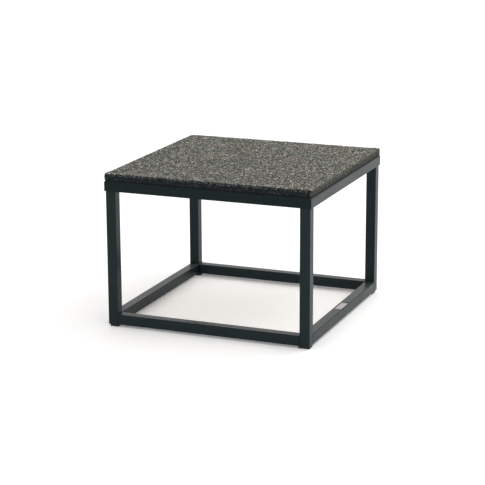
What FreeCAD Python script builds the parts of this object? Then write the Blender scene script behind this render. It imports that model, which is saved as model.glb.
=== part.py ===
import FreeCAD, Part
import math
import os
import Sketcher

# Square stage riser: a welded frame of square steel tube on four feet, and a deck tray that drops over
# the frame's top ring. Millimetres, +Z up, X to the right along the front, Y to the back. The origin is
# on the floor, under the middle of the deck.

SHEET = "Sizes"
DRIVING_SIZES = (
    ("deck_side", 720, "outside of the steel rim, both ways"),
    ("overall_height", 520, "floor to the top of the carpet"),
    ("tube_side", 35, "square tube of the legs and lower rails"),
    ("ring_side", 30, "square tube of the top ring, hidden inside the rim"),
    ("tube_wall", 2, "both tubes"),
    ("tube_corner", 3, "outer corner radius of both tubes"),
    ("foot_height", 8, "floor to the underside of the lower rails"),
    ("foot_width", 30, "foot pad across"),
    ("foot_length", 39, "foot pad along, with its toe under the rail"),
    ("foot_inset", 5, "foot pad in from the tube's outer face, at its side"),
    ("foot_end_inset", 2, "foot pad in from the tube's outer face, at its end"),
    ("foot_corner", 3, "corner radius of the foot pad"),
    ("foot_chamfer", 1, "bottom edge of the foot pad"),
    ("plug_side", 29.8, "core of the plug in the leg"),
    ("plug_height", 22, ""),
    ("plug_bore", 23, "hollow of the plug, square"),
    ("plug_floor", 2, "left under the hollow"),
    ("rib_side", 30.9, "gripping ribs round the plug"),
    ("rib_height", 1.2, ""),
    ("rib_count", 3, ""),
    ("rib_start", 4, "pad to the first rib"),
    ("rib_span", 14, "first rib to the last"),
    ("rim_sheet", 3, "folded steel sheet of the rim"),
    ("rim_drop", 33, "height of the rim's band"),
    ("rim_flange", 35, "width of the rim's flat flange"),
    ("rim_fold", 4, "outer radius of the rim's fold"),
    ("rim_corner", 4, "ground corners of the rim, seen from above"),
    ("rim_clearance", 1, "gap between the rim's band and the frame"),
    ("ply_thickness", 18, "deck panel"),
    ("ply_corner", 14, "corner radius of the deck panel"),
    ("ply_edge", 3, "round on the deck panel's top edge"),
    ("carpet_thickness", 4, "over the top and the sides"),
    ("carpet_corner", 6, "corner radius of the carpet, over its folded layers"),
    ("carpet_under", 2, "turned under the panel and pressed flat"),
    ("carpet_border", 45, "width of the part turned under"),
    ("carpet_setback", 1, "carpet's side in from the rim's face"),
    ("screw_shank", 4, ""),
    ("screw_head", 7.6, ""),
    ("screw_length", 16, ""),
    ("screw_point", 4, "tapered end of the screw"),
    ("screw_hole", 4.6, "through the rim's flange"),
    ("screw_countersink", 8, "mouth of the countersink"),
    ("screw_inset", 20, "screws in from the rim's face"),
    ("screws_per_side", 3, ""),
    ("screw_span", 480, "first screw to the last on a side"),
    ("staple_crown", 10, ""),
    ("staple_wire", 1, ""),
    ("staple_depth", 10, "crown to the tip of a leg"),
    ("staple_inset", 40.5, "staples in from the rim's face"),
    ("staples_per_side", 10, ""),
    ("staple_span", 558, "first staple to the last on a side"),
    ("label_length", 70, "blank label on the right lower rail"),
    ("label_width", 22, ""),
    ("label_thickness", 0.5, ""),
    ("label_corner", 2, ""),
    ("label_along", 4, "label's middle behind the platform's middle"),
    ("label_outward", 2.5, "label's middle out from the rail's centreline"),
    ("vent_diameter", 8, "vent hole in the top of the right lower rail"),
    ("vent_along", 54, "vent hole behind the platform's middle"),
    ("vent_outward", 7, "vent hole out from the rail's centreline"),
)

# Sizes and heights that follow from the driving ones, as expressions for the document's objects.
FRAME_SIDE = f"({SHEET}.deck_side - 2 * {SHEET}.rim_sheet - 2 * {SHEET}.rim_clearance)"
DECK_EDGE = f"({SHEET}.deck_side / 2)"
TUBE_CENTRE = f"({FRAME_SIDE} / 2 - {SHEET}.tube_side / 2)"
RING_CENTRE = f"({FRAME_SIDE} / 2 - {SHEET}.ring_side / 2)"
TUBE_BORE_CORNER = f"({SHEET}.tube_corner - {SHEET}.tube_wall)"
PANEL_BOTTOM = f"({SHEET}.overall_height - {SHEET}.carpet_thickness - {SHEET}.ply_thickness)"
TRAY_TOP = f"({PANEL_BOTTOM} - {SHEET}.carpet_under)"
TRAY_SEAT = f"({TRAY_TOP} - {SHEET}.rim_sheet)"
LEG_LENGTH = f"({TRAY_SEAT} - {SHEET}.foot_height)"
RAIL_LENGTH = f"({FRAME_SIDE} - 2 * {SHEET}.tube_side)"
LOWER_RAIL_CENTRE = f"({SHEET}.foot_height + {SHEET}.tube_side / 2)"
UPPER_RAIL_CENTRE = f"({TRAY_SEAT} - {SHEET}.ring_side / 2)"
CARPET_SIDE = f"({SHEET}.deck_side - 2 * {SHEET}.carpet_setback)"
PANEL_SIDE = f"({CARPET_SIDE} - 2 * {SHEET}.carpet_thickness)"
CARPET_WINDOW = f"({CARPET_SIDE} - 2 * {SHEET}.carpet_border)"
CARPET_HEIGHT = f"({SHEET}.overall_height - {TRAY_TOP})"

# The properties of features that an expression can drive.
MEASURES = ("Length", "Size", "Radius", "Occurrences", "Diameter", "HoleCutDiameter")

UP = FreeCAD.Vector(0, 0, 1)
QUARTER_TURN = 90
SIDES = 4
FULL_TURN = SIDES * QUARTER_TURN
TOUCHING = Part.Precision.confusion()
CM3 = 1000  # cubic millimetres

doc = FreeCAD.newDocument("StageRiserPlatform")
sub_parts = []


def size(name):
    """The expression that reads one driving size from the sheet."""
    return f"{SHEET}.{name}"


def write_sheet():
    sheet = doc.addObject("Spreadsheet::Sheet", SHEET)
    for row, (alias, value, note) in enumerate(DRIVING_SIZES, start=1):
        sheet.set(f"A{row}", alias)
        sheet.set(f"B{row}", str(value))
        sheet.set(f"C{row}", note)
        sheet.setAlias(f"B{row}", alias)
    doc.recompute()


def new_body(label):
    """An empty body in the list of sub-parts."""
    body = doc.addObject("PartDesign::Body", label)
    body.Label = label
    sub_parts.append(body)
    return body


def place(body, x="0", y="0", z="0", turn=0):
    """Puts a body at x, y, z and turns it about the vertical."""
    body.Placement = FreeCAD.Placement(FreeCAD.Vector(), FreeCAD.Rotation(UP, turn))
    for axis, expression in zip("xyz", (x, y, z)):
        body.setExpression(f".Placement.Base.{axis}", expression)


def origin_feature(body, role):
    return next(feature for feature in body.Origin.OriginFeatures if feature.Role == role)


def new_sketch(body, name, plane="XY_Plane", x="0", y="0", z="0"):
    """A sketch on one of the body's own planes, shifted by x, y, z in the sketch's axes."""
    sketch = body.newObject("Sketcher::SketchObject", f"{body.Name}_{name}")
    sketch.AttachmentSupport = [(origin_feature(body, plane), "")]
    sketch.MapMode = "FlatFace"
    for axis, expression in zip("xyz", (x, y, z)):
        sketch.setExpression(f".AttachmentOffset.Base.{axis}", expression)
    return sketch


def bind(sketch, name, expression, *constraint):
    """Adds a dimension to a sketch and binds it to an expression."""
    value = float(sketch.evalExpression(expression))
    index = sketch.addConstraint(Sketcher.Constraint(*constraint, value))
    sketch.renameConstraint(index, name)
    sketch.setExpression(f"Constraints.{name}", expression)


def quarter_arc(centre, radius, quarter):
    """A quarter circle that starts at the given number of quarter turns from +X."""
    start = math.radians(quarter * QUARTER_TURN)
    end = math.radians((quarter + 1) * QUARTER_TURN)
    return Part.ArcOfCircle(Part.Circle(FreeCAD.Vector(*centre), UP, radius), start, end)


def rounded_rectangle(sketch, width, depth, radius):
    """A rectangle centred on the sketch's origin, with round corners."""
    half_x = float(sketch.evalExpression(width)) / 2
    half_y = float(sketch.evalExpression(depth)) / 2
    r = float(sketch.evalExpression(radius))
    x, y = half_x - r, half_y - r
    lines = (
        ((-x, -half_y), (x, -half_y)),
        ((half_x, -y), (half_x, y)),
        ((x, half_y), (-x, half_y)),
        ((-half_x, y), (-half_x, -y)),
    )
    centres = ((x, -y), (x, y), (-x, y), (-x, -y))
    for quarter, (start, end) in enumerate(lines):
        sketch.addGeometry(Part.LineSegment(FreeCAD.Vector(*start), FreeCAD.Vector(*end)))
        sketch.addGeometry(quarter_arc(centres[quarter], r, quarter - 1))
    for side in range(SIDES):
        line, arc, following = 2 * side, 2 * side + 1, 2 * (side + 1) % (2 * SIDES)
        sketch.addConstraint(Sketcher.Constraint("Tangent", line, 2, arc, 1))
        sketch.addConstraint(Sketcher.Constraint("Tangent", arc, 2, following, 1))
        sketch.addConstraint(Sketcher.Constraint("Vertical" if side % 2 else "Horizontal", line))
        if side:
            sketch.addConstraint(Sketcher.Constraint("Equal", 1, arc))
    sketch.addConstraint(Sketcher.Constraint("Symmetric", 3, 3, 7, 3, -1, 1))
    bind(sketch, "radius", radius, "Radius", 1)
    bind(sketch, "width", width, "DistanceX", 6, 1, 2, 1)
    bind(sketch, "depth", depth, "DistanceY", 0, 1, 4, 1)


def outline(sketch, points):
    """A closed outline of straight edges through points, each an x and a y expression."""
    values = [tuple(float(sketch.evalExpression(e)) for e in point) for point in points]
    for index, start in enumerate(values):
        end = values[(index + 1) % len(values)]
        sketch.addGeometry(Part.LineSegment(FreeCAD.Vector(*start), FreeCAD.Vector(*end)))
    for index, (x, y) in enumerate(points):
        following = (index + 1) % len(points)
        sketch.addConstraint(Sketcher.Constraint("Coincident", index, 2, following, 1))
        bind(sketch, f"x{index}", x, "DistanceX", -1, 1, index, 1)
        bind(sketch, f"y{index}", y, "DistanceY", -1, 1, index, 1)


def circle(sketch, diameter):
    """A circle on the sketch's origin."""
    radius = float(sketch.evalExpression(diameter)) / 2
    sketch.addGeometry(Part.Circle(FreeCAD.Vector(), UP, radius))
    sketch.addConstraint(Sketcher.Constraint("Coincident", 0, 3, -1, 1))
    bind(sketch, "diameter", diameter, "Diameter", 0)


def add_feature(body, kind, name, **properties):
    """A feature at the end of the body; a measure given as text is bound as an expression."""
    feature = body.newObject(f"PartDesign::{kind}", f"{body.Name}_{name}")
    for key, value in properties.items():
        if isinstance(value, str) and key in MEASURES:
            feature.setExpression(key, value)
        else:
            setattr(feature, key, value)
    body.Tip = feature
    return feature


def edge_names(shape, chosen):
    """The names of a shape's edges for which chosen(edge) is true."""
    return [f"Edge{index}" for index, edge in enumerate(shape.Edges, start=1) if chosen(edge)]


def tube(body, plane, side, length, symmetric):
    """A square tube, drawn on a plane of the body and extruded square to it."""
    section = new_sketch(body, "section", plane)
    rounded_rectangle(section, side, side, size("tube_corner"))
    add_feature(body, "Pad", "outside", Profile=section, Length=length, Midplane=symmetric)
    bore = new_sketch(body, "bore", plane)
    inside = f"{side} - 2 * {size('tube_wall')}"
    rounded_rectangle(bore, inside, inside, TUBE_BORE_CORNER)
    add_feature(body, "Pocket", "bore_cut", Profile=bore, Type="ThroughAll", Midplane=True)


def leg(label, side_x, side_y):
    """A tube from the feet up to the tray's seat. side_x and side_y are + or -."""
    body = new_body(label)
    tube(body, "XY_Plane", size("tube_side"), LEG_LENGTH, False)
    place(body, side_x + TUBE_CENTRE, side_y + TUBE_CENTRE, size("foot_height"))


def rail(label, side, x, y, z, turn):
    """A tube along X between two legs, turned about the vertical."""
    body = new_body(label)
    tube(body, "YZ_Plane", side, RAIL_LENGTH, True)
    place(body, x, y, z, turn)
    return body


def drill_vent(body):
    """The vent hole through the top wall of a rail that runs front to back."""
    sketch = new_sketch(body, "vent", x=size("vent_along"), y="-" + size("vent_outward"))
    circle(sketch, size("vent_diameter"))
    add_feature(body, "Pocket", "vent_cut", Profile=sketch, Type="ThroughAll", Reversed=True)


def build_frame():
    sides = (
        ("front", "0", "-1", 0),
        ("back", "0", "1", 0),
        ("left", "-1", "0", QUARTER_TURN),
        ("right", "1", "0", QUARTER_TURN),
    )
    for depth_name, side_y in (("front", "-"), ("back", "")):
        for width_name, side_x in (("left", "-"), ("right", "")):
            leg(f"leg_{depth_name}_{width_name}", side_x, side_y)
    for name, side_x, side_y, turn in sides:
        lower = rail(f"lower_rail_{name}", size("tube_side"), f"{side_x} * {TUBE_CENTRE}",
                     f"{side_y} * {TUBE_CENTRE}", LOWER_RAIL_CENTRE, turn)
        if name == "right":
            drill_vent(lower)
        rail(f"upper_rail_{name}", size("ring_side"), f"{side_x} * {RING_CENTRE}",
             f"{side_y} * {RING_CENTRE}", UPPER_RAIL_CENTRE, turn)


def foot(label, side_x, side_y, turn):
    """A plastic foot: a pad with its toe under the rail, and a ribbed hollow plug up the leg.

    The pad is drawn for the front left corner, where inward is +X and +Y.
    """
    body = new_body(label)
    shift_x = f"{size('foot_width')} / 2 + {size('foot_inset')} - {size('tube_side')} / 2"
    shift_y = f"{size('foot_length')} / 2 + {size('foot_end_inset')} - {size('tube_side')} / 2"
    pad = new_sketch(body, "pad", x=shift_x, y=shift_y)
    rounded_rectangle(pad, size("foot_width"), size("foot_length"), size("foot_corner"))
    base = add_feature(body, "Pad", "base", Profile=pad, Length=size("foot_height"))
    doc.recompute()
    bottom = edge_names(base.Shape, lambda edge: abs(edge.BoundBox.ZMax) < TOUCHING)
    add_feature(body, "Chamfer", "bottom_edge", Base=(base, bottom), Size=size("foot_chamfer"))

    core = new_sketch(body, "plug", z=size("foot_height"))
    rounded_rectangle(core, size("plug_side"), size("plug_side"), TUBE_BORE_CORNER)
    add_feature(body, "Pad", "core", Profile=core, Length=size("plug_height"))
    rib = new_sketch(body, "rib", z=f"{size('foot_height')} + {size('rib_start')}")
    rounded_rectangle(rib, size("rib_side"), size("rib_side"), TUBE_BORE_CORNER)
    first = add_feature(body, "Pad", "first_rib", Profile=rib, Length=size("rib_height"))
    add_feature(body, "LinearPattern", "ribs", Originals=[first], Direction=(rib, ["N_Axis"]),
                Length=size("rib_span"), Occurrences=size("rib_count"))
    hollow = new_sketch(body, "hollow", z=f"{size('foot_height')} + {size('plug_floor')}")
    rounded_rectangle(hollow, size("plug_bore"), size("plug_bore"), TUBE_BORE_CORNER)
    add_feature(body, "Pocket", "hollow_cut", Profile=hollow, Type="ThroughAll", Reversed=True)
    place(body, side_x + TUBE_CENTRE, side_y + TUBE_CENTRE, "0 mm", turn)


def build_feet():
    """Four identical feet, each a quarter turn on from the one before it round the frame."""
    corners = (
        ("front_left", "-", "-"),
        ("front_right", "", "-"),
        ("back_right", "", ""),
        ("back_left", "-", ""),
    )
    for turns, (name, side_x, side_y) in enumerate(corners):
        foot(f"foot_{name}", side_x, side_y, turns * QUARTER_TURN)


def rim_side(label, x, y, turn):
    """One side of the rim: folded sheet with a band outside and a flange on top, mitred at both ends.

    It is drawn along X with its outer face at y = 0 and the bottom of its band at z = 0.
    """
    body = new_body(label)
    drop, flange, sheet = size("rim_drop"), size("rim_flange"), size("rim_sheet")
    inner_top = f"{drop} - {sheet}"
    profile = new_sketch(body, "profile", "YZ_Plane")
    outline(profile, (("0", "0"), (sheet, "0"), (sheet, inner_top),
                      (flange, inner_top), (flange, drop), ("0", drop)))
    strip = add_feature(body, "Pad", "strip", Profile=profile, Length=size("deck_side"), Midplane=True)
    doc.recompute()
    fold_height = float(body.evalExpression(drop))
    outer_fold = edge_names(strip.Shape, lambda edge: edge.BoundBox.YMax < TOUCHING
                            and abs(edge.BoundBox.ZMin - fold_height) < TOUCHING)
    add_feature(body, "Fillet", "fold", Base=(strip, outer_fold), Radius=size("rim_fold"))

    mitre = new_sketch(body, "mitre")
    outline(mitre, ((DECK_EDGE, "0"), (DECK_EDGE, flange), (f"{DECK_EDGE} - {flange}", flange)))
    mitre_cut = add_feature(body, "Pocket", "mitre_cut", Profile=mitre,
                            Type="ThroughAll", Reversed=True)
    corner = new_sketch(body, "corner")
    rounded_corner(corner)
    corner_cut = add_feature(body, "Pocket", "corner_cut", Profile=corner,
                             Type="ThroughAll", Reversed=True)
    add_feature(body, "Mirrored", "other_end", Originals=[mitre_cut, corner_cut],
                MirrorPlane=(origin_feature(body, "YZ_Plane"), [""]))

    hole = new_sketch(body, "hole", x=f"-{size('screw_span')} / 2", y=size("screw_inset"), z=inner_top)
    circle(hole, size("screw_hole"))
    doc.recompute()
    drilled = add_feature(body, "Hole", "screw_hole", Profile=hole,
                          DepthType="ThroughAll", Reversed=True, Diameter=size("screw_hole"),
                          HoleCutType="Countersink", HoleCutCustomValues=True,
                          HoleCutDiameter=size("screw_countersink"))
    add_feature(body, "LinearPattern", "screw_holes", Originals=[drilled],
                Direction=(hole, ["H_Axis"]), Length=size("screw_span"),
                Occurrences=size("screws_per_side"))
    place(body, x, y, f"{TRAY_SEAT} + {sheet} - {drop}", turn)


def rounded_corner(sketch):
    """What the ground corner takes off the rim's end: a square corner less a quarter disc."""
    edge = float(sketch.evalExpression(DECK_EDGE))
    r = float(sketch.evalExpression(size("rim_corner")))
    sketch.addGeometry(Part.LineSegment(FreeCAD.Vector(edge - r, 0), FreeCAD.Vector(edge, 0)))
    sketch.addGeometry(Part.LineSegment(FreeCAD.Vector(edge, 0), FreeCAD.Vector(edge, r)))
    sketch.addGeometry(quarter_arc((edge - r, r), r, -1))
    sketch.addConstraint(Sketcher.Constraint("Coincident", 0, 2, 1, 1))
    sketch.addConstraint(Sketcher.Constraint("Tangent", 2, 1, 0, 1))
    sketch.addConstraint(Sketcher.Constraint("Tangent", 2, 2, 1, 2))
    sketch.addConstraint(Sketcher.Constraint("Horizontal", 0))
    sketch.addConstraint(Sketcher.Constraint("Vertical", 1))
    sketch.addConstraint(Sketcher.Constraint("PointOnObject", 1, 1, -1))
    bind(sketch, "edge", DECK_EDGE, "DistanceX", -1, 1, 1, 1)
    bind(sketch, "radius", size("rim_corner"), "Radius", 2)


def build_rim():
    rim_side("deck_rim_front", "0 mm", "-" + DECK_EDGE, 0)
    rim_side("deck_rim_right", DECK_EDGE, "0 mm", QUARTER_TURN)
    rim_side("deck_rim_back", "0 mm", DECK_EDGE, 2 * QUARTER_TURN)
    rim_side("deck_rim_left", "-" + DECK_EDGE, "0 mm", 3 * QUARTER_TURN)


def round_top_edge(body, solid, name, radius):
    """Rounds all the edges that lie at the top of a solid feature."""
    doc.recompute()
    top = solid.Shape.BoundBox.ZMax
    edges = edge_names(solid.Shape, lambda edge: abs(edge.BoundBox.ZMin - top) < TOUCHING)
    add_feature(body, "Fillet", name, Base=(solid, edges), Radius=radius)


def deck_panel():
    """The plywood board, its top edge rounded so that it doesn't cut the carpet."""
    body = new_body("deck_panel")
    sketch = new_sketch(body, "outline")
    rounded_rectangle(sketch, PANEL_SIDE, PANEL_SIDE, size("ply_corner"))
    board = add_feature(body, "Pad", "board", Profile=sketch, Length=size("ply_thickness"))
    round_top_edge(body, board, "top_edge", size("ply_edge"))
    place(body, z=PANEL_BOTTOM)


def carpet_cover():
    """The carpet over the panel's top and sides, with its border turned under. Its bottom is z = 0."""
    body = new_body("carpet_cover")
    outside = new_sketch(body, "outside")
    rounded_rectangle(outside, CARPET_SIDE, CARPET_SIDE, size("carpet_corner"))
    block = add_feature(body, "Pad", "block", Profile=outside, Length=CARPET_HEIGHT)
    round_top_edge(body, block, "top_edge", size("carpet_thickness"))

    inside = new_sketch(body, "inside", z=size("carpet_under"))
    rounded_rectangle(inside, PANEL_SIDE, PANEL_SIDE, size("ply_corner"))
    space = add_feature(body, "Pocket", "panel_space", Profile=inside,
                        Length=size("ply_thickness"), Reversed=True)
    doc.recompute()
    ceiling = float(body.evalExpression(f"{size('carpet_under')} + {size('ply_thickness')}"))
    inner = edge_names(space.Shape, lambda edge: abs(edge.BoundBox.ZMin - ceiling) < TOUCHING
                       and abs(edge.BoundBox.ZMax - ceiling) < TOUCHING)
    add_feature(body, "Fillet", "inner_edge", Base=(space, inner), Radius=size("ply_edge"))

    window = new_sketch(body, "window")
    rounded_rectangle(window, CARPET_WINDOW, CARPET_WINDOW, size("ply_corner"))
    add_feature(body, "Pocket", "window_cut", Profile=window, Length=size("carpet_under"), Reversed=True)
    place(body, z=TRAY_TOP)


def repeat_round_deck(body, first, along, span, count):
    """Repeats a feature along one side of the deck, and then on all four sides."""
    row = doc.addObject("PartDesign::LinearPattern", f"{body.Name}_row")
    row.Direction = (along, ["H_Axis"])
    row.setExpression("Length", span)
    row.setExpression("Occurrences", count)
    sides = doc.addObject("PartDesign::PolarPattern", f"{body.Name}_sides")
    sides.Axis = (origin_feature(body, "Z_Axis"), [""])
    sides.Angle = FULL_TURN
    sides.Occurrences = SIDES
    add_feature(body, "MultiTransform", "all", Originals=[first], Transformations=[row, sides])


def deck_screws():
    """Countersunk screws from under the rim's flange up into the panel. The heads' faces are z = 0."""
    body = new_body("deck_screws")
    sketch = new_sketch(body, "profile", "XZ_Plane", x=f"-{size('screw_span')} / 2",
                        z=f"{DECK_EDGE} - {size('screw_inset')}")
    shank, head = f"{size('screw_shank')} / 2", f"{size('screw_head')} / 2"
    shoulder, length = f"{head} - {shank}", size("screw_length")
    taper = f"{length} - {size('screw_point')}"
    outline(sketch, (("0", "0"), (head, "0"), (shank, shoulder), (shank, taper), ("0", length)))
    first = add_feature(body, "Revolution", "first", Profile=sketch,
                        ReferenceAxis=(sketch, ["V_Axis"]), Angle=FULL_TURN)
    repeat_round_deck(body, first, sketch, size("screw_span"), size("screws_per_side"))
    place(body, z=TRAY_SEAT)


def carpet_staples():
    """Staples through the turned-under carpet into the panel. Their crowns' undersides are z = 0."""
    body = new_body("carpet_staples")
    sketch = new_sketch(body, "profile", "XZ_Plane", x=f"-{size('staple_span')} / 2",
                        z=f"{DECK_EDGE} - {size('staple_inset')}")
    crown, wire, depth = size("staple_crown"), size("staple_wire"), size("staple_depth")
    outline(sketch, (("0", "0"), (crown, "0"), (crown, depth), (f"{crown} - {wire}", depth),
                     (f"{crown} - {wire}", wire), (wire, wire), (wire, depth), ("0", depth)))
    first = add_feature(body, "Pad", "first", Profile=sketch, Length=wire, Midplane=True)
    repeat_round_deck(body, first, sketch, size("staple_span"), size("staples_per_side"))
    place(body, z=f"{TRAY_TOP} - {wire}")


def blank_label():
    body = new_body("blank_label")
    sketch = new_sketch(body, "outline")
    rounded_rectangle(sketch, size("label_width"), size("label_length"), size("label_corner"))
    add_feature(body, "Pad", "plate", Profile=sketch, Length=size("label_thickness"))
    place(body, f"{TUBE_CENTRE} + {size('label_outward')}", size("label_along"),
          f"{size('foot_height')} + {size('tube_side')}")


def check_document():
    """Stops unless every object recomputed and every sub-part is a valid shape."""
    doc.recompute()
    for thing in doc.Objects:
        if "Invalid" in thing.State or "Error" in thing.State:
            raise RuntimeError(f"{thing.Label} failed: {thing.State}")
    for body in sub_parts:
        if body.Shape.isNull() or not body.Shape.isValid() or not body.Shape.Solids:
            raise RuntimeError(f"{body.Label} has no valid solid")


def write_parts():
    os.makedirs("parts", exist_ok=True)
    for body in sub_parts:
        body.Shape.exportStep(f"parts/{body.Label}.step")
        box = body.Shape.BoundBox
        print(f"{body.Label}: {len(body.Shape.Solids)} solids, {body.Shape.Volume / CM3:.1f} cm3,"
              f" z {box.ZMin:.1f} to {box.ZMax:.1f}")


write_sheet()
build_frame()
build_feet()
build_rim()
deck_panel()
carpet_cover()
deck_screws()
carpet_staples()
blank_label()
check_document()
write_parts()
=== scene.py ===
import math

import bpy
import numpy as np
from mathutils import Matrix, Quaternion, Vector


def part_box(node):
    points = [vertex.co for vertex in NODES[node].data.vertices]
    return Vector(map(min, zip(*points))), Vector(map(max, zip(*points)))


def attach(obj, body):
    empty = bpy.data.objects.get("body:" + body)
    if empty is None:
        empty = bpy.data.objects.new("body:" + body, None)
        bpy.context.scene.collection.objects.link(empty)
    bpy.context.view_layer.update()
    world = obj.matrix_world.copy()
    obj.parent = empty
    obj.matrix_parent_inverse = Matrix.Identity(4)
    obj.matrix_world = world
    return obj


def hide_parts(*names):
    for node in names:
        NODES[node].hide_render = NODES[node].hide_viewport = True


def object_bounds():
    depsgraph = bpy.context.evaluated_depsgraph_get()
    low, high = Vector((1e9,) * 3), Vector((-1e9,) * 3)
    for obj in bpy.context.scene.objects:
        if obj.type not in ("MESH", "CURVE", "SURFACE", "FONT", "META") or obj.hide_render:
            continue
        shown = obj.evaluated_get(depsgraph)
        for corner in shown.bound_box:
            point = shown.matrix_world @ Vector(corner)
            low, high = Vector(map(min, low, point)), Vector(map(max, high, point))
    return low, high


# Stage riser platform: a black square-tube frame with a lift-off deck tray wrapped in
# speckled loop carpet. Everything is in metres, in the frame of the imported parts.

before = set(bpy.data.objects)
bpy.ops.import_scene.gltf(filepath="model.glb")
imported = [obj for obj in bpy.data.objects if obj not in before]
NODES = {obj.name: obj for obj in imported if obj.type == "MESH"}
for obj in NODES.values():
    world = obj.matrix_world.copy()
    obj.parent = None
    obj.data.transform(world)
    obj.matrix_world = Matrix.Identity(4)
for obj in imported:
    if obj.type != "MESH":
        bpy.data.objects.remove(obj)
CAD_LOW, CAD_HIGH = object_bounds()

MM = 0.001
SEED = 20

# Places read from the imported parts.
CARPET_LOW, CARPET_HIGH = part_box("carpet_cover")
PANEL_LOW, PANEL_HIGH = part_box("deck_panel")
LOWER_RAIL_LOW, LOWER_RAIL_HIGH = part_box("lower_rail_front")
UPPER_RAIL_LOW, UPPER_RAIL_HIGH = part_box("upper_rail_front")
FRAME_HALF = -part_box("leg_front_left")[0].x

# Camera: the direction it looks from and its roll in degrees, its distance, what it is aimed at
# and its lens in millimetres.
CAMERA_AZIMUTH = 22.0
CAMERA_ELEVATION = 14.67
CAMERA_ROLL = -0.246
CAMERA_DISTANCE = 5.798
CAMERA_AIM = Vector((-0.0164, 0.0, 0.2329))
CAMERA_LENS = 125.67


# ---------------------------------------------------------------- materials
# Scales of noise and cells are per metre, and colours are linear.


class Finish:
    """One material: its Principled shader and the nodes that drive it."""

    def __init__(self, name):
        self.material = bpy.data.materials.new(name)
        self.material.use_nodes = True
        self.tree = self.material.node_tree
        self.shader = self.tree.nodes["Principled BSDF"]
        coordinates = self.tree.nodes.new("ShaderNodeTexCoord")
        self.place = coordinates.outputs["Object"]
        self.facing = coordinates.outputs["Normal"]

    def add(self, kind, sockets, **settings):
        made = self.tree.nodes.new(kind)
        for name, value in settings.items():
            setattr(made, name, value)
        for socket, value in sockets.items():
            self.feed(made.inputs[socket], value)
        return made

    def feed(self, socket, value):
        if isinstance(value, bpy.types.NodeSocket):
            self.tree.links.new(value, socket)
        else:
            socket.default_value = value

    def set(self, **sockets):
        """Sets or links the shader's own sockets; a name's underscores stand for spaces."""
        for name, value in sockets.items():
            self.feed(self.shader.inputs[name.replace("_", " ")], value)

    def stretched(self, x, y, z):
        mapping = self.add("ShaderNodeMapping", {"Vector": self.place, "Scale": (x, y, z)})
        return mapping.outputs["Vector"]

    def noise(self, scale, detail=2.0, roughness=0.5, vector=None):
        sockets = {
            "Vector": vector or self.place,
            "Scale": scale,
            "Detail": detail,
            "Roughness": roughness,
        }
        return self.add("ShaderNodeTexNoise", sockets).outputs["Fac"]

    def cells(self, scale, output="Color", vector=None, feature="F1"):
        sockets = {"Vector": vector or self.place, "Scale": scale}
        return self.add("ShaderNodeTexVoronoi", sockets, feature=feature).outputs[output]

    def math(self, operation, a, b=0.0):
        return self.add("ShaderNodeMath", {0: a, 1: b}, operation=operation).outputs[0]

    def parts(self, vector):
        return self.add("ShaderNodeSeparateXYZ", {0: vector}).outputs

    def ramp(self, value, stops, interpolation="LINEAR"):
        made = self.add("ShaderNodeValToRGB", {"Fac": value})
        made.color_ramp.interpolation = interpolation
        elements = made.color_ramp.elements
        while len(elements) < len(stops):
            elements.new(0.5)
        for element, (position, colour) in zip(elements, stops):
            element.position = position
            element.color = grey(colour) if isinstance(colour, float) else (*colour, 1.0)
        return made.outputs["Color"]

    def mix(self, factor, a, b, blend="MIX"):
        made = self.add("ShaderNodeMix", {}, data_type="RGBA", blend_type=blend)
        self.feed(made.inputs[0], factor)
        self.feed(made.inputs[6], (*a, 1.0) if isinstance(a, tuple) else a)
        self.feed(made.inputs[7], (*b, 1.0) if isinstance(b, tuple) else b)
        return made.outputs[2]

    def bump(self, height, strength, distance, normal=None):
        sockets = {"Height": height, "Strength": strength, "Distance": distance}
        if normal is not None:
            sockets["Normal"] = normal
        return self.add("ShaderNodeBump", sockets).outputs["Normal"]

    def edges(self):
        """0 on the flat faces of a square tube, rising on its rounded corners."""
        x, y, z = (self.math("ABSOLUTE", part) for part in self.parts(self.facing))
        flattest = self.math("MAXIMUM", self.math("MAXIMUM", x, y), z)
        return self.math("SUBTRACT", 1.0, flattest)


def grey(value):
    return (value, value, value, 1.0)


FRAME_BLACK = (0.0100, 0.0172, 0.0190)
RIM_BLACK = (0.0016, 0.0080, 0.0088)
RUBBED_COLOUR = (0.050, 0.056, 0.056)
DUST_COLOUR = (0.34, 0.335, 0.32)
PEEL_BUMP = 0.12 * MM


def paint(name, colour, shine, roughness):
    """Satin powder coat: fine orange peel, faint smudges, dust on top and rubbed corners."""
    finish = Finish(name)
    smudge = finish.noise(9.0, 5.0, 0.62)
    peel = finish.noise(650.0, 2.0)
    grit = finish.noise(2200.0, 1.0)
    rubbed = finish.math("MULTIPLY", finish.edges(), finish.noise(120.0, 4.0, 0.7))
    rubbed = finish.ramp(rubbed, ((0.10, 0.0), (0.16, 1.0)))
    upward = finish.ramp(finish.parts(finish.facing)[2], ((0.80, 0.0), (1.0, 1.0)))
    dust = finish.math("MULTIPLY", upward, finish.ramp(smudge, ((0.35, 0.06), (0.75, 0.16))))
    tone = finish.mix(smudge, tuple(0.75 * c for c in colour), tuple(1.25 * c for c in colour))
    tone = finish.mix(finish.math("MULTIPLY", rubbed, 0.45), tone, RUBBED_COLOUR)
    tone = finish.mix(dust, tone, DUST_COLOUR)
    gloss = finish.ramp(smudge, ((0.30, roughness - 0.05), (0.75, roughness + 0.07)))
    gloss = finish.mix(finish.math("MULTIPLY", dust, 2.0), gloss, (0.6, 0.6, 0.6))
    height = finish.math("ADD", peel, finish.math("MULTIPLY", grit, 0.35))
    finish.set(
        Base_Color=tone,
        Roughness=gloss,
        Specular_IOR_Level=shine,
        Normal=finish.bump(height, 0.10, PEEL_BUMP),
    )
    return finish.material


SCUFF_HEIGHT = 6 * MM


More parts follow.
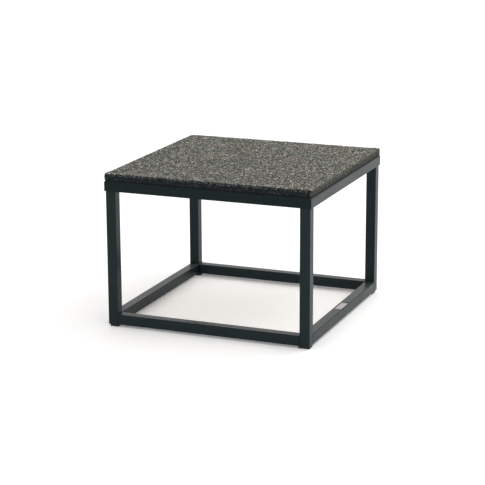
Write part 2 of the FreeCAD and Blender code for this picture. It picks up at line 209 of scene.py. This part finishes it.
def rubber(name):
    """Moulded black foot rubber: fine sparkle grain, scuffed paler near the floor."""
    finish = Finish(name)
    grain = finish.noise(1400.0, 2.0)
    scuff = finish.noise(260.0, 5.0, 0.7)
    low = finish.ramp(finish.parts(finish.place)[2], ((0.0, 1.0), (SCUFF_HEIGHT, 0.0)))
    scuffed = finish.math("MULTIPLY", low, finish.ramp(scuff, ((0.45, 0.0), (0.7, 0.5))))
    tone = finish.mix(grain, (0.006, 0.007, 0.008), (0.014, 0.015, 0.016))
    tone = finish.mix(scuffed, tone, (0.09, 0.085, 0.08))
    finish.set(
        Base_Color=tone,
        Roughness=finish.ramp(grain, ((0.3, 0.55), (0.7, 0.75))),
        Specular_IOR_Level=0.3,
        Normal=finish.bump(grain, 0.25, 0.1 * MM),
    )
    return finish.material


PLY = 1.4 * MM
WAVE_PERIOD = math.pi / 10  # of a wave texture of scale 1


def plywood(name):
    """Birch plywood: long face grain, fine pores, a few darker streaks and plies at its edges."""
    finish = Finish(name)
    long_grain = finish.stretched(1.0, 14.0, 14.0)
    streak = finish.noise(7.0, 6.0, 0.6, long_grain)
    fibre = finish.noise(90.0, 3.0, 0.6, finish.stretched(1.0, 18.0, 18.0))
    layer = finish.add(
        "ShaderNodeTexWave",
        {"Vector": finish.place, "Scale": WAVE_PERIOD / (2 * PLY), "Distortion": 0.4},
        wave_type="BANDS",
        bands_direction="Z",
    ).outputs["Fac"]
    face = finish.ramp(streak, ((0.30, (0.50, 0.37, 0.24)), (0.70, (0.64, 0.51, 0.36))))
    face = finish.mix(finish.ramp(fibre, ((0.35, 0.0), (0.75, 0.45))), face, (0.40, 0.28, 0.17))
    side = finish.ramp(layer, ((0.35, (0.28, 0.17, 0.09)), (0.65, (0.62, 0.45, 0.27))))
    flat = finish.math("ABSOLUTE", finish.parts(finish.facing)[2])
    finish.set(
        Base_Color=finish.mix(finish.ramp(flat, ((0.4, 0.0), (0.6, 1.0))), side, face),
        Roughness=finish.ramp(fibre, ((0.3, 0.55), (0.8, 0.75))),
        Normal=finish.bump(fibre, 0.2, 0.2 * MM),
    )
    return finish.material


def zinc(name):
    """Zinc-plated steel of the screws and staples, slightly dulled."""
    finish = Finish(name)
    cloud = finish.noise(300.0, 4.0, 0.6)
    finish.set(
        Base_Color=finish.ramp(cloud, ((0.3, (0.42, 0.43, 0.44)), (0.7, (0.63, 0.63, 0.62)))),
        Roughness=finish.ramp(cloud, ((0.3, 0.28), (0.7, 0.5))),
        Metallic=1.0,
        Normal=finish.bump(finish.noise(1800.0, 2.0), 0.1, 0.05 * MM),
    )
    return finish.material


def label_plate(name):
    """Blank metallised label: brushed along its length, dull and a little soiled in patches."""
    finish = Finish(name)
    brushed = finish.noise(60.0, 4.0, 0.6, finish.stretched(60.0, 1.5, 1.0))
    soil = finish.noise(130.0, 5.0, 0.7)
    tone = finish.ramp(brushed, ((0.3, (0.39, 0.370, 0.370)), (0.7, (0.47, 0.448, 0.448))))
    tone = finish.mix(finish.ramp(soil, ((0.5, 0.0), (0.8, 0.5))), tone, (0.24, 0.23, 0.22))
    finish.set(
        Base_Color=tone,
        Roughness=finish.ramp(brushed, ((0.3, 0.4), (0.7, 0.6))),
        Normal=finish.bump(brushed, 0.08, 0.05 * MM),
    )
    return finish.material


YARN_COLOURS = (
    (0.00, (0.022, 0.025, 0.024)),
    (0.30, (0.060, 0.066, 0.058)),
    (0.50, (0.115, 0.118, 0.100)),
    (0.64, (0.170, 0.160, 0.132)),
    (0.74, (0.140, 0.175, 0.135)),
    (0.81, (0.290, 0.215, 0.190)),
    (0.88, (0.400, 0.385, 0.330)),
    (0.95, (0.620, 0.600, 0.535)),
)
# Near black of the painted shade in the gaps between the loops.
PAINTED_GAP_SHADE = (0.010, 0.011, 0.012)
BLOTCH_COLOURS = ((0.35, (0.86, 0.92, 0.88)), (0.5, (1.0, 1.0, 1.0)), (0.65, (1.12, 1.03, 1.0)))
# Painted shade of the carpet's sides: factors that darken the yarn on the front and on the other
# three sides, the front most, as it faces away from the light.
PILE_PAINTED_SIDE_SHADES = ((0.085, 0.115, 0.16), (0.26, 0.265, 0.26))
TUFT_PAINTED_SIDE_SHADES = ((0.90, 0.93, 0.95), (0.85, 0.85, 0.82))
PILE_EVEN_TONE = (0.13, 0.13, 0.12)
TUFT_EVEN_TONE = (0.58, 0.57, 0.52)
LOOP_WIDTH = 3.8 * MM
CLUMP_WIDTH = 11 * MM
# Height of the painted crease shade at the foot of the carpet's sides.
CREASE_SHADE_HEIGHT = 6 * MM
FIBRE_BUMP = 0.5 * MM


def carpet(name, brightness, painted_side_shades, evening, even_tone):
    """Speckled loop pile: each loop its own yarn colour, with painted shade in the gaps between the
    loops, down the sides and in the crease at the foot of the sides.

    On the sides the yarn is drawn towards even_tone by the share evening, and then multiplied by
    painted shade: by the first of the given side shades on the front, which faces away from the
    light, and by the second on the other three.
    """
    finish = Finish(name)
    loop = finish.parts(finish.cells(1 / LOOP_WIDTH))[0]
    gap = finish.cells(1 / LOOP_WIDTH, "Distance")
    clump = finish.parts(finish.cells(1 / CLUMP_WIDTH))[1]
    blotch = finish.noise(16.0, 4.0, 0.6)
    fibre = finish.noise(1500.0, 3.0, 0.7)
    yarn = finish.ramp(loop, YARN_COLOURS, "CONSTANT")
    patch = finish.ramp(clump, ((0.0, 0.8 * brightness), (1.0, 1.2 * brightness)))
    yarn = finish.mix(1.0, yarn, patch, "MULTIPLY")
    yarn = finish.mix(1.0, yarn, finish.ramp(blotch, BLOTCH_COLOURS), "MULTIPLY")
    # Painted shade in the gaps between the loops: the edges of each loop cell are drawn towards a
    # near black.
    yarn = finish.mix(finish.ramp(gap, ((0.45, 0.0), (0.85, 0.60))), yarn, PAINTED_GAP_SHADE)
    x, y, z = finish.parts(finish.facing)
    ragged = finish.math("ADD", z, finish.math("MULTIPLY", loop, 0.30))
    side = finish.ramp(ragged, ((0.62, 1.0), (0.98, 0.0)))
    # Painted shade: the front side, facing away from the light, takes the darker of the two side
    # factors.
    painted_front_shade = finish.ramp(finish.math("MULTIPLY", y, -1.0), ((0.3, 0.0), (0.8, 1.0)))
    tone = finish.mix(painted_front_shade, painted_side_shades[1], painted_side_shades[0])
    # Painted shade in the crease where the carpet's lower fold meets the rim: the sides darken
    # towards their foot, down to 0.3.
    height = finish.math("SUBTRACT", finish.parts(finish.place)[2], CARPET_LOW.z)
    low = finish.math("DIVIDE", height, CREASE_SHADE_HEIGHT)
    tone = finish.mix(1.0, tone, finish.ramp(low, ((0.5, 0.3), (1.0, 1.0))), "MULTIPLY")
    shaded = finish.mix(1.0, finish.mix(evening, yarn, even_tone), tone, "MULTIPLY")
    finish.set(
        Base_Color=finish.mix(side, yarn, shaded),
        Roughness=finish.ramp(fibre, ((0.3, 0.85), (0.7, 1.0))),
        Specular_IOR_Level=0.12,
        Sheen_Weight=0.05,
        Sheen_Roughness=0.5,
        Normal=finish.bump(finish.math("SUBTRACT", fibre, gap), 0.5, FIBRE_BUMP),
    )
    return finish.material


# ------------------------------------------------------------------- meshes


def new_piece(name, points, faces, material, body):
    """A smooth mesh that rides on a body and carries the finish it is given."""
    mesh = bpy.data.meshes.new(name)
    mesh.from_pydata(points, [], faces)
    mesh.validate()
    mesh.shade_smooth()
    mesh.materials.append(material)
    piece = bpy.data.objects.new(name, mesh)
    bpy.context.scene.collection.objects.link(piece)
    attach(piece, body)
    return piece


# Carpet: one sheet stretched over the panel, folded down its sides and turned under it.
CARPET_HALF = CARPET_HIGH.x
CARPET_TOP = CARPET_HIGH.z
CARPET_BOTTOM = CARPET_LOW.z
CARPET_THICKNESS = CARPET_TOP - PANEL_HIGH.z
TOP_FOLD = 4 * MM
TOP_FOLD_STEPS = 3
LOW_FOLD = 4.5 * MM
LOW_FOLD_STEPS = 2
CORNER_RADIUS = 6 * MM
TURNED_UNDER = 45 * MM
UNDER_STEPS = 4
UNDER_WAVE = 0.15 * MM
BACKING_GAP = 0.1 * MM
LOOP_PITCH = 2.6 * MM
LOOP_HEIGHT = 0.55 * MM
LEAST_LOOP = 0.5
LOOP_SPREAD = 0.25
LOOP_SHIFT = 0.18 * LOOP_PITCH
CORNER_REACH = 16 * MM
PLEAT_PLACE = 10 * MM
PLEAT_WIDTH = 2.2 * MM
PLEAT_DEPTH = 1.3 * MM
FLAP_RISE = 0.5 * MM
# How far the carpet is pulled down at each corner: side of X, side of Y and depth.
CORNER_DIPS = (
    (1, -1, 2.5 * MM),
    (-1, -1, 2.5 * MM),
    (-1, 1, 1.0 * MM),
    (1, 1, 2.0 * MM),
)
# How far the folded pile stands proud of the top along the front and right edges.
EDGE_SWELLS = ((0, -1, 3.6 * MM), (1, 0, 2.6 * MM))
SWELL_REACH = 28 * MM


def top_lattice():
    """Plan places of the top's lattice, its corners drawn in to the rounded outline.

    Also gives the lattice's cells each way, and the place of the corners' centres.
    """
    half = CARPET_HALF - TOP_FOLD
    radius = CORNER_RADIUS - TOP_FOLD
    cells = round(2 * half / LOOP_PITCH)
    line = np.linspace(-half, half, cells + 1)
    x, y = np.meshgrid(line, line, indexing="ij")
    centre = half - radius
    a = np.clip((np.abs(x) - centre) / radius, 0, 1)
    b = np.clip((np.abs(y) - centre) / radius, 0, 1)
    corner = (a > 0) & (b > 0)
    round_x = np.sign(x) * (centre + radius * a * np.sqrt(1 - b * b / 2))
    round_y = np.sign(y) * (centre + radius * b * np.sqrt(1 - a * a / 2))
    return np.where(corner, round_x, x), np.where(corner, round_y, y), cells, centre


def outline_order(cells):
    """Lattice indices once round the top's edge, anticlockwise from the front left corner."""
    up = np.arange(cells)
    down = np.arange(cells, 0, -1)
    low, high = np.zeros(cells, int), np.full(cells, cells)
    i = np.concatenate([up, high, down, low])
    j = np.concatenate([low, up, high, down])
    return i, j


def edge_profile():
    """Rows from the top's edge down and under: outward step, height, and the way they face."""
    rows = []
    for step in range(1, TOP_FOLD_STEPS + 1):
        angle = math.pi / 2 * step / TOP_FOLD_STEPS
        out = TOP_FOLD * math.sin(angle)
        z = CARPET_TOP - TOP_FOLD * (1 - math.cos(angle))
        rows.append((out, z, math.sin(angle), math.cos(angle)))
    side_top = CARPET_TOP - TOP_FOLD
    side_low = CARPET_BOTTOM + LOW_FOLD
    steps = round((side_top - side_low) / LOOP_PITCH)
    for step in range(1, steps + 1):
        rows.append((TOP_FOLD, side_top + (side_low - side_top) * step / steps, 1.0, 0.0))
    for step in range(1, LOW_FOLD_STEPS + 1):
        angle = math.pi / 2 * step / LOW_FOLD_STEPS
        out = TOP_FOLD - LOW_FOLD * (1 - math.cos(angle))
        rows.append((out, side_low - LOW_FOLD * math.sin(angle), math.cos(angle), -math.sin(angle)))
    return rows


def loop_relief(shape, rng):
    """Raised and sunk lattice points in turn, each loop a little different in height."""
    i, j = np.indices(shape)
    sign = np.where((i + j) % 2 == 0, 1.0, -1.0)
    size = rng.uniform(LEAST_LOOP, 1.0, shape)
    return LOOP_HEIGHT * (sign * size + rng.normal(0.0, LOOP_SPREAD, shape))


def settling(x, y):
    """How far the top lies lower than a flat one: less along two edges, more at the corners."""
    fall = np.zeros(np.shape(x))
    for side_x, side_y, depth in CORNER_DIPS:
        reach = np.hypot(CARPET_HALF * side_x - x, CARPET_HALF * side_y - y)
        fall += depth * np.exp(-((reach / CORNER_REACH) ** 2))
    for side_x, side_y, rise in EDGE_SWELLS:
        inward = CARPET_HALF - (side_x * x + side_y * y)
        fall -= rise * np.exp(-((inward / SWELL_REACH) ** 2))
    return fall


def corner_fold(edge, outward):
    """The folded corners' shape on the front and back: a raised flap that ends in a crease."""
    from_corner = CARPET_HALF - np.abs(edge[:, 0])
    on_face = np.abs(outward[:, 1]) > 0.9
    crease = -PLEAT_DEPTH * np.exp(-(((from_corner - PLEAT_PLACE) / PLEAT_WIDTH) ** 2))
    flap = FLAP_RISE * (from_corner < PLEAT_PLACE)
    return np.where(on_face, crease + flap, 0.0)


def top_points(x, y, rng):
    """The top's lattice in space. Its edge points stay in their places in plan."""
    inner = np.zeros(x.shape)
    inner[1:-1, 1:-1] = 1.0
    shift_x = inner * rng.uniform(-LOOP_SHIFT, LOOP_SHIFT, x.shape)
    shift_y = inner * rng.uniform(-LOOP_SHIFT, LOOP_SHIFT, x.shape)
    level = CARPET_TOP - settling(x, y) + loop_relief(x.shape, rng)
    return np.stack([x + shift_x, y + shift_y, level], axis=-1).reshape(-1, 3)


def side_rings(edge, centre, rng):
    """Rings of points from the top's edge down the sides to the foot of the lower fold."""
    outward = edge - np.clip(edge, -centre, centre)
    outward /= np.linalg.norm(outward, axis=1, keepdims=True)
    profile = edge_profile()
    relief = loop_relief((len(profile), len(edge)), rng)
    fall = settling(edge[:, 0], edge[:, 1])
    fold = corner_fold(edge, outward)
    height = CARPET_TOP - CARPET_BOTTOM
    rings = []
    for row, (out, z, face_out, face_up) in enumerate(profile):
        lift = relief[row] + fold * face_out
        plan = edge + outward * (out + face_out * lift)[:, None]
        level = z + face_up * lift - fall * (z - CARPET_BOTTOM) / height
        rings.append(np.column_stack([plan, level]))
    return rings


def under_rings(edge, last, rng):
    """Rings under the panel to the border's cut edge, and back along the panel's faces."""
    edge_half = CARPET_HALF - TOP_FOLD
    border = edge * (PANEL_HIGH.x - TURNED_UNDER + TOP_FOLD) / edge_half
    panel = edge * (PANEL_HIGH.x + BACKING_GAP) / edge_half
    rings = []
    for step in range(1, UNDER_STEPS + 1):
        share = step / UNDER_STEPS
        wave = rng.normal(0.0, UNDER_WAVE, len(edge))
        plan = last[:, :2] * (1 - share) + border * share
        rings.append(np.column_stack([plan, CARPET_BOTTOM + wave]))
    for plan, level in (
        (border, PANEL_LOW.z - BACKING_GAP),
        (panel, PANEL_LOW.z - BACKING_GAP),
        (panel, PANEL_HIGH.z + BACKING_GAP),
    ):
        rings.append(np.column_stack([plan, np.full(len(edge), level)]))
    return rings


def carpet_points(rng):
    """The carpet's points, top lattice first and then its rings, and the ring count."""
    x, y, cells, centre = top_lattice()
    i, j = outline_order(cells)
    edge = np.stack([x[i, j], y[i, j]], axis=1)
    top = top_points(x, y, rng)
    rings = side_rings(edge, centre, rng)
    rings += under_rings(edge, rings[-1], rng)
    return np.concatenate([top, *rings]), cells, len(rings)


def carpet_faces(cells, ring_count):
    """Quads over the top's lattice and between the rings, and one face inside the last ring."""
    width = cells + 1
    i, j = np.meshgrid(np.arange(cells), np.arange(cells), indexing="ij")
    corner = (i * width + j).ravel()
    faces = np.stack([corner, corner + width, corner + width + 1, corner + 1], axis=1).tolist()
    i, j = outline_order(cells)
    ring = i * width + j
    count = len(ring)
    for number in range(ring_count):
        following = width * width + number * count + np.arange(count)
        after, next_after = np.roll(ring, -1), np.roll(following, -1)
        faces += np.stack([ring, following, next_after, after], axis=1).tolist()
        ring = following
    faces.append(ring[::-1].tolist())
    return faces


def build_carpet(material):
    rng = np.random.default_rng(SEED)
    points, cells, ring_count = carpet_points(rng)
    faces = carpet_faces(cells, ring_count)
    piece = new_piece("carpet_sheet", points.tolist(), faces, material, "deck")
    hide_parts("carpet_cover")
    return piece


# Tufts: yarn loops that stand proud, most of them along the carpet's worked edges.
TUFT_SIDES = 5
TUFT_ROOT = 0.5 * MM
TUFT_LENGTHS = (0.9, 2.3)
TUFT_WIDTHS = (0.55, 0.95)
TUFT_LEAN = 0.35
SHOULDER_PLACE = 0.6
SHOULDER_WIDTH = 0.95
EDGE_ZONE = 5 * MM
EDGE_SHARE = 0.38
CORNER_SHARE = 0.8
TOP_SHARE = 0.05
SIDE_SHARE = 0.02


def tuft_places(carpet_piece, rng):
    """Points on the carpet's top, edges and sides that carry a tuft, and the way each faces."""
    mesh = carpet_piece.data
    place, facing = np.zeros((2, len(mesh.vertices) * 3))
    mesh.vertices.foreach_get("co", place)
    mesh.vertex_normals.foreach_get("vector", facing)
    place, facing = place.reshape(-1, 3), facing.reshape(-1, 3)
    from_edge = CARPET_HALF - np.abs(place[:, :2]).max(axis=1)
    below_top = CARPET_TOP - place[:, 2]
    worked = (from_edge < EDGE_ZONE) & (below_top < EDGE_ZONE)
    corner = CARPET_HALF - np.abs(place[:, :2]).min(axis=1) < EDGE_ZONE
    side = (from_edge < EDGE_ZONE) & ~worked
    share = np.where(side, SIDE_SHARE, TOP_SHARE)
    share = np.where(worked, EDGE_SHARE, np.where(side & corner, CORNER_SHARE, share))
    outside = place[:, 2] > CARPET_BOTTOM + np.where(corner, LOW_FOLD / 2, EDGE_ZONE)
    inner = (np.abs(place[:, 2] - PANEL_HIGH.z) < 2 * BACKING_GAP) & (from_edge > 2 * MM)
    chosen = outside & ~inner & (rng.random(len(place)) < share)
    return place[chosen], facing[chosen]


def build_tufts(carpet_piece, material):
    """Short closed yarn ends: a five-sided root, a shoulder and a tip."""
    rng = np.random.default_rng(SEED + 1)
    place, facing = tuft_places(carpet_piece, rng)
    count = len(place)
    lean = facing + rng.normal(0.0, TUFT_LEAN, (count, 3))
    lean /= np.linalg.norm(lean, axis=1, keepdims=True)
    across = np.cross(lean, rng.normal(size=(count, 3)))
    across /= np.linalg.norm(across, axis=1, keepdims=True)
    along = np.cross(lean, across)
    length = rng.uniform(*TUFT_LENGTHS, (count, 1)) * MM
    width = rng.uniform(*TUFT_WIDTHS, (count, 1)) * MM
    rings = []
    for rise, wide in ((-TUFT_ROOT, 1.0), (SHOULDER_PLACE * length, SHOULDER_WIDTH)):
        for step in range(TUFT_SIDES):
            turn = 2 * math.pi * step / TUFT_SIDES
            spoke = math.cos(turn) * across + math.sin(turn) * along
            rings.append(place + rise * lean + wide * width * spoke)
    rings.append(place + length * lean)
    points = np.stack(rings, axis=1).reshape(-1, 3)
    apex = 2 * TUFT_SIDES
    faces = []
    for tuft in range(count):
        first = tuft * (apex + 1)
        for step in range(TUFT_SIDES):
            after = (step + 1) % TUFT_SIDES
            low, next_low = first + step, first + after
            high, next_high = low + TUFT_SIDES, next_low + TUFT_SIDES
            faces.append((low, next_low, next_high, high))
            faces.append((high, next_high, first + apex))
        faces.append(tuple(first + step for step in reversed(range(TUFT_SIDES))))
    return new_piece("carpet_tufts", points.tolist(), faces, material, "deck")


# Welds: a rippled bead round each rail's end, left proud inside the frame and ground flush outside.
BEAD = 1.7 * MM
GROUND_BEAD = 0.3 * MM
RIPPLE_LENGTH = 2.3 * MM
RIPPLE = 0.13
BEAD_SIDES = 8
BEAD_STEP = 0.6 * MM
TUBE_CORNER = 3 * MM
BEND_STEPS = 6


def tube_outline(side, step):
    """Points round a tube's outside with the way each faces: (across, up, face_across, face_up)."""
    half = side / 2
    flat = half - TUBE_CORNER
    straight = [(half, run, 1.0, 0.0) for run in np.arange(-flat, flat, step)]
    bend = []
    for angle in np.linspace(0.0, math.pi / 2, BEND_STEPS, endpoint=False):
        cos, sin = math.cos(angle), math.sin(angle)
        bend.append((flat + TUBE_CORNER * cos, flat + TUBE_CORNER * sin, cos, sin))
    quarter = np.array(straight + bend)
    points = []
    for _ in range(4):
        points.append(quarter)
        quarter = np.stack([-quarter[:, 1], quarter[:, 0], -quarter[:, 3], quarter[:, 2]], axis=1)
    return np.concatenate(points)


def bead_ring(side, centre, along, inward, opening):
    """One bead's points: a tube of varying radius round a rail's end. Vectors are in the frame."""
    path = tube_outline(side, BEAD_STEP)
    across, rise, face_across, face_up = (path[:, k : k + 1] for k in range(4))
    up = np.array((0.0, 0.0, 1.0))
    run = np.arange(len(path))[:, None] * BEAD_STEP
    proud = np.clip(np.maximum(face_across, face_up * opening), 0.0, 1.0) ** 2
    radius = GROUND_BEAD + (BEAD - GROUND_BEAD) * proud
    radius = radius * (1 + RIPPLE * proud * np.sin(2 * math.pi * run / RIPPLE_LENGTH))
    middle = centre + across * inward + rise * up
    facing = face_across * inward + face_up * up
    turns = 2 * math.pi * np.arange(BEAD_SIDES) / BEAD_SIDES
    spokes = [middle + radius * (math.cos(t) * facing + math.sin(t) * along) for t in turns]
    return np.stack(spokes, axis=1)


def ring_faces(count, first):
    """Faces of a closed tube of count rings of BEAD_SIDES points."""
    step, side = np.meshgrid(np.arange(count), np.arange(BEAD_SIDES), indexing="ij")
    after, other = (step + 1) % count, (side + 1) % BEAD_SIDES
    corners = [
        step * BEAD_SIDES + side,
        step * BEAD_SIDES + other,
        after * BEAD_SIDES + other,
        after * BEAD_SIDES + side,
    ]
    return (first + np.stack(corners, axis=-1).reshape(-1, 4)).tolist()


def build_welds(material):
    """Beads at both ends of the eight rails. opening is the side of a rail that is free to weld."""
    rings, faces = [], []
    first = 0
    rail_end = LOWER_RAIL_HIGH.x
    for low, high, opening in (
        (LOWER_RAIL_LOW, LOWER_RAIL_HIGH, 1.0),
        (UPPER_RAIL_LOW, UPPER_RAIL_HIGH, -1.0),
    ):
        side = high.z - low.z
        rail_line = FRAME_HALF - side / 2
        for turn in range(4):
            turned = Quaternion((0.0, 0.0, 1.0), turn * math.pi / 2)
            along = np.array(turned @ Vector((1.0, 0.0, 0.0)))
            inward = np.array(turned @ Vector((0.0, 1.0, 0.0)))
            for end in (-1.0, 1.0):
                centre = turned @ Vector((end * rail_end, -rail_line, (low.z + high.z) / 2))
                ring = bead_ring(side, np.array(centre), along, inward, opening)
                rings.append(ring.reshape(-1, 3))
                faces += ring_faces(len(ring), first)
                first += len(rings[-1])
    points = np.concatenate(rings).tolist()
    return new_piece("frame_welds", points, faces, material, "frame")


# -------------------------------------------------------------------- stage


FLOOR_HALF = 60.0
FLOOR_GAP = 0.2 * MM
LAMP_PLACE = Vector((1.6, 1.2, 2.8))
LAMP_TARGET = Vector((0.0, 0.0, 0.3))


def build_floor():
    mesh = bpy.data.meshes.new("studio_floor")
    corners = [(x * FLOOR_HALF, y * FLOOR_HALF, 0.0) for x, y in ((-1, -1), (1, -1), (1, 1), (-1, 1))]
    mesh.from_pydata(corners, [], [(0, 1, 2, 3)])
    floor = bpy.data.objects.new("studio_floor", mesh)
    floor.location.z = CAD_LOW.z - FLOOR_GAP
    finish = Finish("pale_floor")
    finish.set(
        Base_Color=(0.92, 0.92, 0.92, 1.0),
        Roughness=0.9,
        Specular_IOR_Level=0.1,
        Emission_Color=(1.0, 1.0, 1.0, 1.0),
        Emission_Strength=0.14,
    )
    mesh.materials.append(finish.material)
    bpy.context.scene.collection.objects.link(floor)


def build_light():
    """A plain white surround, and one large soft lamp behind and above."""
    world = bpy.data.worlds.new("studio")
    bpy.context.scene.world = world
    world.use_nodes = True
    background = world.node_tree.nodes["Background"]
    background.inputs["Color"].default_value = (1.0, 1.0, 1.0, 1.0)
    background.inputs["Strength"].default_value = 1.05
    light = bpy.data.lights.new("softbox", "AREA")
    light.shape = "DISK"
    light.size = 2.4
    light.energy = 30.0
    lamp = bpy.data.objects.new("softbox", light)
    lamp.location = LAMP_PLACE
    lamp.rotation_mode = "QUATERNION"
    lamp.rotation_quaternion = (LAMP_TARGET - LAMP_PLACE).to_track_quat("-Z", "Y")
    bpy.context.scene.collection.objects.link(lamp)
    bpy.context.scene.view_settings.view_transform = "Standard"


def build_camera():
    azimuth = math.radians(CAMERA_AZIMUTH)
    elevation = math.radians(CAMERA_ELEVATION)
    back = Vector(
        (
            math.sin(azimuth) * math.cos(elevation),
            -math.cos(azimuth) * math.cos(elevation),
            math.sin(elevation),
        )
    )
    camera = bpy.data.objects.new("camera", bpy.data.cameras.new("camera"))
    camera.data.lens = CAMERA_LENS
    camera.data.clip_end = 3 * FLOOR_HALF
    camera.location = CAMERA_AIM + CAMERA_DISTANCE * back
    camera.rotation_mode = "QUATERNION"
    roll = Quaternion((0.0, 0.0, 1.0), math.radians(CAMERA_ROLL))
    camera.rotation_quaternion = (-back).to_track_quat("-Z", "Y") @ roll
    bpy.context.scene.collection.objects.link(camera)
    bpy.context.scene.camera = camera


def dress_nodes():
    """Puts each CAD node's finish on its material slots."""
    finishes = {
        "frame_paint": paint("frame_powder_coat", FRAME_BLACK, 0.10, 0.24),
        "rim_paint": paint("rim_powder_coat", RIM_BLACK, 0.13, 0.28),
        "foot_plastic": rubber("foot_plastic"),
        "label_plate": label_plate("label_plate"),
        "plywood": plywood("plywood"),
        "zinc_steel": zinc("zinc_steel"),
    }
    for node in NODES.values():
        for slot in node.material_slots:
            slot_name = slot.material.name
            if slot_name in finishes:
                slot.material = finishes[slot_name]
    return finishes


build_camera()
build_light()
build_floor()
finishes = dress_nodes()
build_welds(finishes["frame_paint"])
pile = carpet("carpet_pile", 1.0, PILE_PAINTED_SIDE_SHADES, 0.4, PILE_EVEN_TONE)
tuft_yarn = carpet("carpet_tuft_yarn", 1.25, TUFT_PAINTED_SIDE_SHADES, 0.5, TUFT_EVEN_TONE)
carpet_sheet = build_carpet(pile)
carpet_tufts = build_tufts(carpet_sheet, tuft_yarn)
